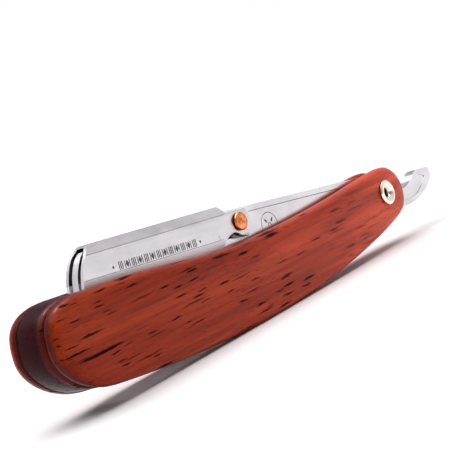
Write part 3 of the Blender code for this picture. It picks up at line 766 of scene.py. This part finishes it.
def make_eyelet(material):
    """Hollow eyelet: dished flange on the near side, clinched roll on the far side."""
    face = SLOT_AT_PIVOT / 2 + SCALE_THICKNESS
    near = -(face + GAP)
    crest = near - EYELET_FLANGE_HEIGHT * 0.75
    far_seat = face + GAP + WASHER_THICKNESS + GAP
    far_crest = face + GAP + EYELET_FLANGE_HEIGHT + WASHER_THICKNESS
    clinch = EYELET_FLANGE - 0.5
    dish = smooth_run([(EYELET_BORE, near + 0.9), (EYELET_BORE + 0.1, near + 0.35),
                       (EYELET_BORE + 0.5, near - 0.15), (EYELET_BORE + 1.1, crest + 0.08),
                       (EYELET_BORE + 1.5, crest), (EYELET_FLANGE - 0.35, crest + 0.1),
                       (EYELET_FLANGE, near - EYELET_FLANGE_HEIGHT * 0.3), (EYELET_FLANGE - 0.1, near)], 4)
    roll = smooth_run([(clinch - 0.1, far_seat), (clinch, far_seat + 0.2), (clinch - 0.4, far_crest),
                       (EYELET_BORE + 0.7, far_crest), (EYELET_BORE, far_crest - 0.6)], 4)
    profile = dish + [(EYELET_RADIUS, near), (EYELET_RADIUS, far_seat)] + roll
    eyelet = turned_ring("pivot_eyelet_polished", profile, 64)
    return paint(eyelet, material)


def make_washer(material):
    """The washer under the eyelet's clinched end."""
    face = SLOT_AT_PIVOT / 2 + SCALE_THICKNESS + GAP
    lip = 0.1
    profile = [(EYELET_RADIUS + GAP, face), (EYELET_FLANGE - lip, face), (EYELET_FLANGE, face + lip),
               (EYELET_FLANGE, face + WASHER_THICKNESS - lip), (EYELET_FLANGE - lip, face + WASHER_THICKNESS),
               (EYELET_RADIUS + GAP, face + WASHER_THICKNESS)]
    washer = turned_ring("pivot_washer_polished", profile, 48)
    return paint(washer, material)


# ------------------------------------------------------------ arm

def tang_top(x):
    return TANG_TOP_FRONT + TANG_TOP_SLOPE * (x - TANG_FRONT)


def tang_bottom(x):
    return TANG_BOTTOM_FRONT + TANG_BOTTOM_SLOPE * (x - TANG_FRONT)


def spine_height(x):
    return SPINE_Z_BACK + SPINE_SLOPE * (x - COVER_BACK)


def arm_outline():
    """Carrier, tang and tail in one side outline, clockwise."""
    nose = arc(NOSE_CENTRE, NOSE_RADIUS - CARRIER_SET_BACK, 180, 132, 20)
    front_top = spine_height(nose[-1][0]) - COVER_FOLD - GAP
    carrier_back = TANG_FRONT - CARRIER_STEP_BACK
    points = [(carrier_back, CARRIER_BOTTOM), (nose[0][0] + 0.5, CARRIER_BOTTOM)]
    points += [point for point in nose if point[1] < front_top]
    points.append((nose[-1][0] + 0.6, front_top))
    points.append((carrier_back, spine_height(TANG_FRONT) - COVER_FOLD - 2 * GAP))
    points.append((TANG_FRONT - 0.3, tang_top(TANG_FRONT) - 0.5))
    points.append((TANG_FRONT, tang_top(TANG_FRONT)))
    points += smooth_run([(TAIL_START, tang_top(TAIL_START)), *TAIL_TOP], 8)
    points += smooth_run([*TAIL_BOTTOM, (0, tang_bottom(0))], 8)
    points.append((TANG_FRONT + 2.0, tang_bottom(TANG_FRONT + 2.0)))
    return points


def web_pocket(side):
    """Cutter that sinks the panel between the tang's two rails."""
    loop = [(x, tang_top(x) - RAIL_HEIGHT) for x in (WEB_FRONT, WEB_BACK)]
    loop += [(x, tang_bottom(x) + RAIL_HEIGHT) for x in (WEB_BACK, WEB_FRONT)]
    return prism("web_pocket", loop, side * (TANG_THICKNESS / 2 - WEB_DEPTH), side * CUT_PAST)


def tail_pocket(side):
    """Cutter that sinks the band along the middle of the tail."""
    loop = smooth_run([(12.0, -1.4), (16.0, -1.75), (20.0, -0.9), (23.2, 0.95), (25.4, 2.5)], 6)
    loop += smooth_run([(28.6, 1.5), (26.4, -0.6), (22.6, -2.6), (18.0, -3.4), (12.0, -3.6)], 6)
    return prism("tail_pocket", loop, side * (TANG_THICKNESS / 2 - WEB_DEPTH), side * CUT_PAST)


def carrier_relief(side):
    """Cutter that thins the carrier in front of the tang."""
    ahead = -(NOSE_REACH + THROUGH)
    loop = [(ahead, -THROUGH), (ahead, THROUGH), (TANG_FRONT, THROUGH), (TANG_FRONT, 2.2),
            (TANG_FRONT - 4.2, -1.0), (TANG_FRONT - 5.0, -THROUGH)]
    return prism("carrier_relief", loop, side * CARRIER_THICKNESS / 2 + CARRIER_ASIDE, side * CUT_PAST)


def lug_slot():
    """Cutter for the curved slot below the rivet, under the thumb lug."""
    loop = smooth_run([(-64.2, 0.2), (-62.4, 1.15), (-60.9, 1.2), (-59.3, 0.55), (-57.9, 0.0)], 6)
    loop += smooth_run([(-58.0, -0.75), (-59.6, -0.4), (-61.0, 0.15), (-62.5, 0.35), (-64.2, -0.1)], 6)
    return prism("lug_slot", loop, -CUT_PAST, CUT_PAST)


def stud_place(side):
    """Side-view place of the front stud (side -1) or the rear one (side 1)."""
    return BLADE_MIDDLE_X + side * STUD_SPACING / 2, STUD_Z


def make_arm(material):
    """Tang, tail and carrier in one piece of steel, with its bores and sunk panels."""
    arm = prism("polished_arm", arm_outline(), -TANG_THICKNESS / 2, TANG_THICKNESS / 2)
    cutters = [lug_slot(), bore("pivot_bore", (0, 0), EYELET_RADIUS + GAP, CUT_PAST),
               bore("rivet_bore", RIVET_AT, RIVET_RADIUS + GAP, CUT_PAST)]
    for side in (-1, 1):
        cutters += [carrier_relief(side), web_pocket(side), tail_pocket(side)]
        cutters.append(bore("stud_bore", stud_place(side), STUD_RADIUS + GAP, CUT_PAST, 24))
    cut(arm, cutters)
    soften_edges(arm, 0.12)
    return paint(arm, material)


def blade_outline(edge_z):
    """Side outline of the half blade: two stud notches in its back and a tab at each end."""
    front, rear = (BLADE_MIDDLE_X + side * BLADE_LENGTH / 2 for side in (-1, 1))
    edge_front, edge_rear = (BLADE_MIDDLE_X + side * BLADE_EDGE_LENGTH / 2 for side in (-1, 1))
    tab_z = BLADE_BACK_Z - BLADE_TAB
    notch = STUD_RADIUS + GAP
    loop = [(front, BLADE_BACK_Z)]
    for side in (-1, 1):
        x, z = stud_place(side)
        loop.append((x - notch, BLADE_BACK_Z))
        loop += arc((x, z), notch, 180, 360, 16)
        loop.append((x + notch, BLADE_BACK_Z))
    loop += [(rear, BLADE_BACK_Z), (rear, tab_z), (edge_rear, tab_z - BLADE_TAB_STEP), (edge_rear, edge_z),
             (edge_front, edge_z), (edge_front, tab_z - BLADE_TAB_STEP), (front, tab_z)]
    return loop


def make_blade(material):
    """Half blade with its ground edge: the lowest millimetre tapers to a fine line."""
    edge_z = BLADE_BACK_Z - BLADE_WIDTH
    near = -(CARRIER_THICKNESS / 2 + GAP) + CARRIER_ASIDE
    blade = prism("ground_half_blade", blade_outline(edge_z), near - BLADE_THICKNESS, near)
    grind = BLADE_THICKNESS * 0.45
    clear = BLADE_THICKNESS * 2
    ends = [BLADE_MIDDLE_X + side * (BLADE_LENGTH / 2 + 1) for side in (-1, 1)]
    for side, face in ((-1, near - BLADE_THICKNESS), (1, near)):
        wedge = [(face - side * grind, edge_z - 0.01), (face + side * clear, edge_z - 0.01),
                 (face + side * clear, edge_z + GRIND_HEIGHT), (face, edge_z + GRIND_HEIGHT)]
        cut(blade, [loft_along_x("grind", lambda x, wedge=wedge: wedge, *ends)])
    return paint(blade, material)


def make_rivet(material):
    """Copper rivet: slightly domed near head with a crisp rim, and the peened far end."""
    head = RIVET_HEAD_RADIUS
    seat = COVER_WIDTH / 2 + GAP
    crest = seat + RIVET_HEAD_HEIGHT
    near = smooth_run([(head * 0.35, -crest + 0.015), (head * 0.68, -crest + 0.07),
                       (head * 0.86, -crest + 0.15), (head * 0.96, -crest + 0.28),
                       (head, -crest + 0.45), (head, -seat)], 4)
    end = seat + BURR_THICKNESS + GAP
    far_crest = crest + BURR_THICKNESS
    far = smooth_run([(head * 0.85, end), (head * 0.82, end + 0.12), (head * 0.62, far_crest),
                      (head * 0.3, far_crest + 0.07)], 4)
    profile = [(0, -crest)] + near + [(RIVET_RADIUS, -seat), (RIVET_RADIUS, end)] + far
    profile.append((0, far_crest + 0.09))
    rivet = turned_solid("copper_rivet", profile, 56, RIVET_AT)
    return paint(rivet, material)


# ------------------------------------------------------------ cover

def cover_outside(x):
    """Outer cross-section of the folded cover."""
    top = spine_height(x)
    spine = COVER_SPINE_WIDTH / 2
    wall = COVER_WIDTH / 2
    bevel = top - BEVEL_DROP
    right = [(spine - 0.35, top), (spine - 0.12, top - 0.07), (spine + 0.03, top - 0.28),
             (wall - 0.06, bevel + 0.14), (wall, bevel - 0.14), (wall, LOWER_BEVEL_Z + 0.1),
             (wall - 0.03, LOWER_BEVEL_Z - 0.1), (COVER_EDGE_WIDTH / 2, COVER_BOTTOM)]
    return [(-y, z) for y, z in reversed(right)] + right


def cover_inside(x):
    """Inner cross-section, which runs out through the open bottom."""
    top = spine_height(x) - COVER_SPINE_SHEET
    wall = COVER_WIDTH / 2 - COVER_WALL
    mouth = COVER_EDGE_WIDTH / 2 - COVER_WALL * 0.8
    right = [(COVER_SPINE_WIDTH / 2 - COVER_WALL, top), (wall, top - BEVEL_DROP + COVER_SPINE_SHEET),
             (wall, LOWER_BEVEL_Z), (mouth, COVER_BOTTOM), (mouth, COVER_BOTTOM - CUT_PAST)]
    return [(-y, z) for y, z in reversed(right)] + right


def cover_outline():
    """Side outline of the cover: nose, spine, step, ear round the rivet and the scallop below it."""
    step_x = COVER_BACK + COVER_STEP
    step_z = spine_height(COVER_BACK) - COVER_STEP * STEP_STEEPNESS
    nose_top = math.degrees(math.asin((spine_height(NOSE_TOP_X) - NOSE_CENTRE[1]) / NOSE_RADIUS))
    ear_start = math.degrees(math.asin((EAR_TOP - RIVET_AT[1]) / EAR_RADIUS))
    points = arc(NOSE_CENTRE, NOSE_RADIUS, 180, 180 - nose_top, 30)
    points += [(NOSE_CENTRE[0], THROUGH), (COVER_BACK, THROUGH), (COVER_BACK, spine_height(COVER_BACK)),
               (step_x, step_z), (step_x + 0.1, EAR_TOP)]
    points += arc(RIVET_AT, EAR_RADIUS, ear_start, EAR_END_ANGLE, 24)
    points += smooth_run(SCALLOP, 8)
    points += [(SCALLOP[-1][0], -THROUGH), (-NOSE_REACH, -THROUGH)]
    return points


def make_cover(material):
    """Sheet folded over the carrier: drawn as a bar, cut to its side outline and hollowed from below."""
    front, back = COVER_LOFT
    cover = loft_along_x("folded_cover", cover_outside, front, back)
    cut(cover, [prism("side_outline", cover_outline(), -CUT_PAST, CUT_PAST)], "INTERSECT")
    cut(cover, [loft_along_x("inside", cover_inside, front - 2, back + 2),
                bore("rivet_bore", RIVET_AT, RIVET_RADIUS + GAP, CUT_PAST)])
    soften_edges(cover, 0.09)
    return paint(cover, material)


# ------------------------------------------------------------ etched ornament and painted shade lines

def plate_patch(mesh, loop, y):
    """A thin patch on the near side, from its surface at y outwards."""
    depths = (PATCH_LIFT, PATCH_THICKNESS)
    rows = [[mesh.verts.new(place(x, y - depth, z)) for x, z in loop] for depth in depths]
    skin(mesh, rows)
    mesh.faces.new(list(reversed(rows[0])))
    mesh.faces.new(rows[-1])


def diamond(x, z, half_width, half_height):
    return [(x - half_width, z), (x, z + half_height), (x + half_width, z), (x, z - half_height)]


def bar(x, z, half_width, half_height):
    return [(x - half_width, z - half_height), (x - half_width, z + half_height),
            (x + half_width, z + half_height), (x + half_width, z - half_height)]


def make_border(material):
    """A plain border of upright bars and small diamonds etched along the cover, with fine dark lines of
    painted shade where the wall meets its two bevels.
    """
    mesh = bmesh.new()
    face = -COVER_WIDTH / 2
    pitch = (BORDER_RIGHT - BORDER_LEFT) / (BORDER_MARKS - 1)
    for k in range(BORDER_MARKS):
        x = BORDER_LEFT + pitch * k
        bars, half_width = ((-0.5, 0.0, 0.5), 0.13)
        if k % 2:
            plate_patch(mesh, diamond(x, BORDER_Z, DIAMOND_HALF_WIDTH, BORDER_HEIGHT / 2), face)
            bars, half_width = ((-0.72, 0.72), 0.11)
        for aside in bars:
            plate_patch(mesh, bar(x + aside, BORDER_Z, half_width, BORDER_HEIGHT / 2), face)
    for x in (BORDER_LEFT - 2.3, BORDER_RIGHT + 2.0):
        dot_patch(mesh, (x, BORDER_Z), BORDER_DOT_RADIUS, face)
    nose = -NOSE_REACH + 0.9
    # fine dark lines of painted shade where the wall meets the upper and the lower bevel
    upper = [(x, spine_height(x) - BEVEL_DROP - 0.12) for x in (nose + 2.0, COVER_BACK + 0.6)]
    shade_line_patch(mesh, upper[0], upper[1], 0.09, face)
    shade_line_patch(mesh, (nose, LOWER_BEVEL_Z + 0.12), (SCALLOP_FRONT, LOWER_BEVEL_Z + 0.12), 0.10, face)
    for place_of_dot in ((-66.7, 0.95), (-66.9, 1.5)):
        dot_patch(mesh, place_of_dot, 0.14, face)
    border = add_object("etched_border_and_shade_lines", mesh)
    return paint(border, material)


def dot_patch(mesh, centre, radius, y):
    """A small round dot."""
    plate_patch(mesh, arc(centre, radius, 360, 30, 11), y)


def shade_line_patch(mesh, start, end, width, y):
    """A fine dark line of painted shade between two points (x, z) of the near side."""
    (x_start, z_start), (x_end, z_end) = start, end
    half = width / 2
    loop = [(x_start, z_start - half), (x_start, z_start + half),
            (x_end, z_end + half), (x_end, z_end - half)]
    plate_patch(mesh, loop, y)


def ring_patch(mesh, centre, outer, inner, y, steps):
    """A thin flat ring on the near side."""
    rings = []
    corners = ((inner, PATCH_LIFT), (outer, PATCH_LIFT), (outer, PATCH_THICKNESS), (inner, PATCH_THICKNESS))
    for radius, depth in corners:
        circle = arc(centre, radius, 360, 360 / steps, steps - 1)
        rings.append([mesh.verts.new(place(x, y - depth, z)) for x, z in circle])
    skin(mesh, rings + [rings[0]])


def make_roundel(material):
    """A plain roundel etched on the tang, two rings and four leaves, and a fine dark line of painted shade
    along the foot of the upper rail.
    """
    mesh = bmesh.new()
    face = -(TANG_THICKNESS / 2 - WEB_DEPTH)
    ring_patch(mesh, ROUNDEL_CENTRE, ROUNDEL_RADIUS, ROUNDEL_RADIUS - 0.16, face, 72)
    ring_patch(mesh, ROUNDEL_CENTRE, 0.62, 0.44, face, 36)
    for k in range(4):
        angle = math.radians(45 + 90 * k)
        along = Vector((math.cos(angle), math.sin(angle)))
        across = Vector((-along.y, along.x)) * 0.34
        middle = Vector(ROUNDEL_CENTRE)
        leaf = [middle + along * 0.95, middle + along * 1.55 + across, middle + along * 2.5,
                middle + along * 1.55 - across]
        plate_patch(mesh, [tuple(point) for point in reversed(leaf)], face)
    # a fine dark line of painted shade at the step where the upper rail drops to the sunk panel
    rail = [(x, tang_top(x) - RAIL_HEIGHT) for x in (WEB_FRONT + 0.1, WEB_BACK)]
    shade_line_patch(mesh, rail[0], rail[1], 0.13, -TANG_THICKNESS / 2)
    roundel = add_object("etched_roundel_and_shade_line", mesh)
    return paint(roundel, material)


# ------------------------------------------------------------ stage

FLOOR_HALF = 30.0                # metres
SUN_FROM = (-0.02, 0.06, 0.55)
SUN_STRENGTH = 3.3
SUN_SOFTNESS = 76.0
SOFTBOX_AT = (-0.02, 0.10, 0.55)
SOFTBOX_SIZE = (0.14, 0.10)
SOFTBOX_POWER = 1.2
WHITE = (1.0, 1.0, 1.0)
BLACK = (0.0, 0.0, 0.0)
PANELS_TOWARDS = ((0.72, -0.42, 0.50), (-0.62, 0.62, 0.45))


def make_floor():
    """A wide pale floor with a very fine paper grain."""
    mesh = bmesh.new()
    signs = ((-1, -1), (1, -1), (1, 1), (-1, 1))
    mesh.faces.new([mesh.verts.new((FLOOR_HALF * across, FLOOR_HALF * along, 0)) for across, along in signs])
    floor = add_object("pale_floor", mesh)
    material, tree, shader = new_material("pale_paper")
    source = add_node(tree, "ShaderNodeTexCoord").outputs["Object"]
    grain = noise(tree, source, scale=900.0, detail=3.0)
    tree.links.new(ramp(tree, grain, [(0.3, (0.89, 0.885, 0.89)), (0.7, (0.92, 0.915, 0.92))]),
                   shader.inputs["Base Color"])
    shader.inputs["Roughness"].default_value = 0.75
    paint(floor, material)


def hang_light(name, data, location):
    """Puts a light at a place, turned to shine on the origin."""
    light = bpy.data.objects.new(name, data)
    bpy.context.scene.collection.objects.link(light)
    light.location = location
    light.rotation_euler = (-Vector(location)).to_track_quat("-Z", "Y").to_euler()
    return light


def make_lights():
    """A wide soft sun that lights the floor evenly, and a small softbox that is only seen as highlights."""
    sun = bpy.data.lights.new("soft_overhead", "SUN")
    sun.energy = SUN_STRENGTH
    sun.angle = math.radians(SUN_SOFTNESS)
    hang_light("soft_overhead", sun, SUN_FROM)
    softbox = bpy.data.lights.new("highlight_softbox", "AREA")
    softbox.shape = "RECTANGLE"
    softbox.size, softbox.size_y = SOFTBOX_SIZE
    softbox.energy = SOFTBOX_POWER
    hang_light("highlight_softbox", softbox, SOFTBOX_AT).visible_diffuse = False


def make_world():
    """Dim surroundings with two broad pale panels, plain white behind the stage.

    The surroundings light matt surfaces at half strength, which keeps the shadow under the belly deep.
    """
    world = bpy.data.worlds.new("white_studio")
    bpy.context.scene.world = world
    world.use_nodes = True
    tree = world.node_tree
    background = tree.nodes["Background"]
    direction = add_node(tree, "ShaderNodeTexCoord").outputs["Generated"]
    facings = []
    for towards in PANELS_TOWARDS:
        panel = Vector(towards).normalized()
        facing = add_node(tree, "ShaderNodeVectorMath", {0: direction, 1: panel}, operation="DOT_PRODUCT")
        facings.append(facing.outputs["Value"])
    surroundings = ramp(tree, maths(tree, "MAXIMUM", *facings), [
        (0.0, (0.16, 0.14, 0.16)), (0.35, (0.24, 0.22, 0.24)), (0.70, (0.66, 0.63, 0.66)),
        (0.95, (0.90, 0.87, 0.90))])
    path = add_node(tree, "ShaderNodeLightPath").outputs
    lit = mix_colour(tree, path["Is Diffuse Ray"], surroundings, mix_colour(tree, 0.5, surroundings, BLACK))
    tree.links.new(mix_colour(tree, path["Is Camera Ray"], lit, WHITE), background.inputs["Color"])
    background.inputs["Strength"].default_value = 1.0


def make_camera():
    """The photograph's viewing angle, given in the razor's own frame and turned with it."""
    data = bpy.data.cameras.new("camera")
    data.lens = CAMERA_LENS
    data.sensor_width = SENSOR_WIDTH
    data.clip_start = 0.01
    right = TURN.to_3x3() @ Vector(CAMERA_RIGHT)
    up = TURN.to_3x3() @ Vector(CAMERA_UP)
    right.normalize()
    back = right.cross(up).normalized()
    up = back.cross(right)
    camera = bpy.data.objects.new("camera", data)
    bpy.context.scene.collection.objects.link(camera)
    turn = Matrix((right, up, back)).transposed().to_4x4()
    camera.matrix_world = Matrix.Translation(LEVEL @ Vector(CAMERA_AT)) @ turn
    bpy.context.scene.camera = camera


# ------------------------------------------------------------ assembly

def main():
    """Makes the materials and pieces, hangs each piece on its body, and sets the stage."""
    # toe bands: on the near scale painted shade in the crease beside the spacer; on the far scale and the
    # spacer partly the toe's own dark band, partly painted shade
    near_wood = wood_material("red_wood_near", RED_TONES, 0.60, (-1, -5.7, -3.3, 0.80),
                              [(-116.7, -4.3, 7.4, 0.40)])
    far_wood = wood_material("red_wood_far", RED_TONES, 0.45, (1, 4.3, 2.9, 0.9))
    spacer_wood = wood_material("dark_toe_wood_and_shade", TOE_TONES_WITH_SHADE, 0.40, (-1, -1.8, 0.2, 0.95))
    steel = steel_material("polished_steel", 0.66, 0.17, (0.12, 3.0, 14.0))
    # the cover's steel is paler below the lower bevel's top, partly painted highlight
    cover_steel = steel_material("cover_steel", 0.62, 0.20, (0.10, 3.0, 10.0), LOWER_BEVEL_Z)
    nickel = nickel_material()
    copper = copper_material()
    etched = etched_and_shade_material()

    outline = handle_outline()
    wanted = [
        (make_scale("near_scale_wood", -1, outline, NEAR_INNER_RADIUS, near_wood), "handle", "near_scale"),
        (make_scale("far_scale_wood", 1, outline, FAR_INNER_RADIUS, far_wood), "handle", "far_scale"),
        (make_spacer(outline, spacer_wood), "handle", "toe_spacer"),
        (make_eyelet(nickel), "handle", "pivot_eyelet"),
        (make_washer(nickel), "handle", "pivot_far_washer"),
        (make_arm(steel), "folding_arm", "arm"),
        (make_blade(steel), "folding_arm", "half_blade"),
        (make_rivet(copper), "folding_arm", "hinge_rivet"),
        (make_cover(cover_steel), "swing_cover", "blade_cover"),
    ]
    for piece, body, node in wanted:
        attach(piece, body)
        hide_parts(node)
    for piece, body, slot in ((make_border(etched), "swing_cover", "blade_cover"),
                              (make_roundel(etched), "folding_arm", "arm")):
        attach(piece, body)
    kept = {"near_pivot_shim": nickel, "far_pivot_shim": nickel, "front_blade_stud": steel,
            "rear_blade_stud": steel, "hinge_rivet_burr": copper}
    for node, material in kept.items():
        for slot in frame["nodes"][node].material_slots:
            slot.material = material

    make_floor()
    make_world()
    make_lights()
    make_camera()
    bpy.context.scene.view_settings.view_transform = "Standard"


main()
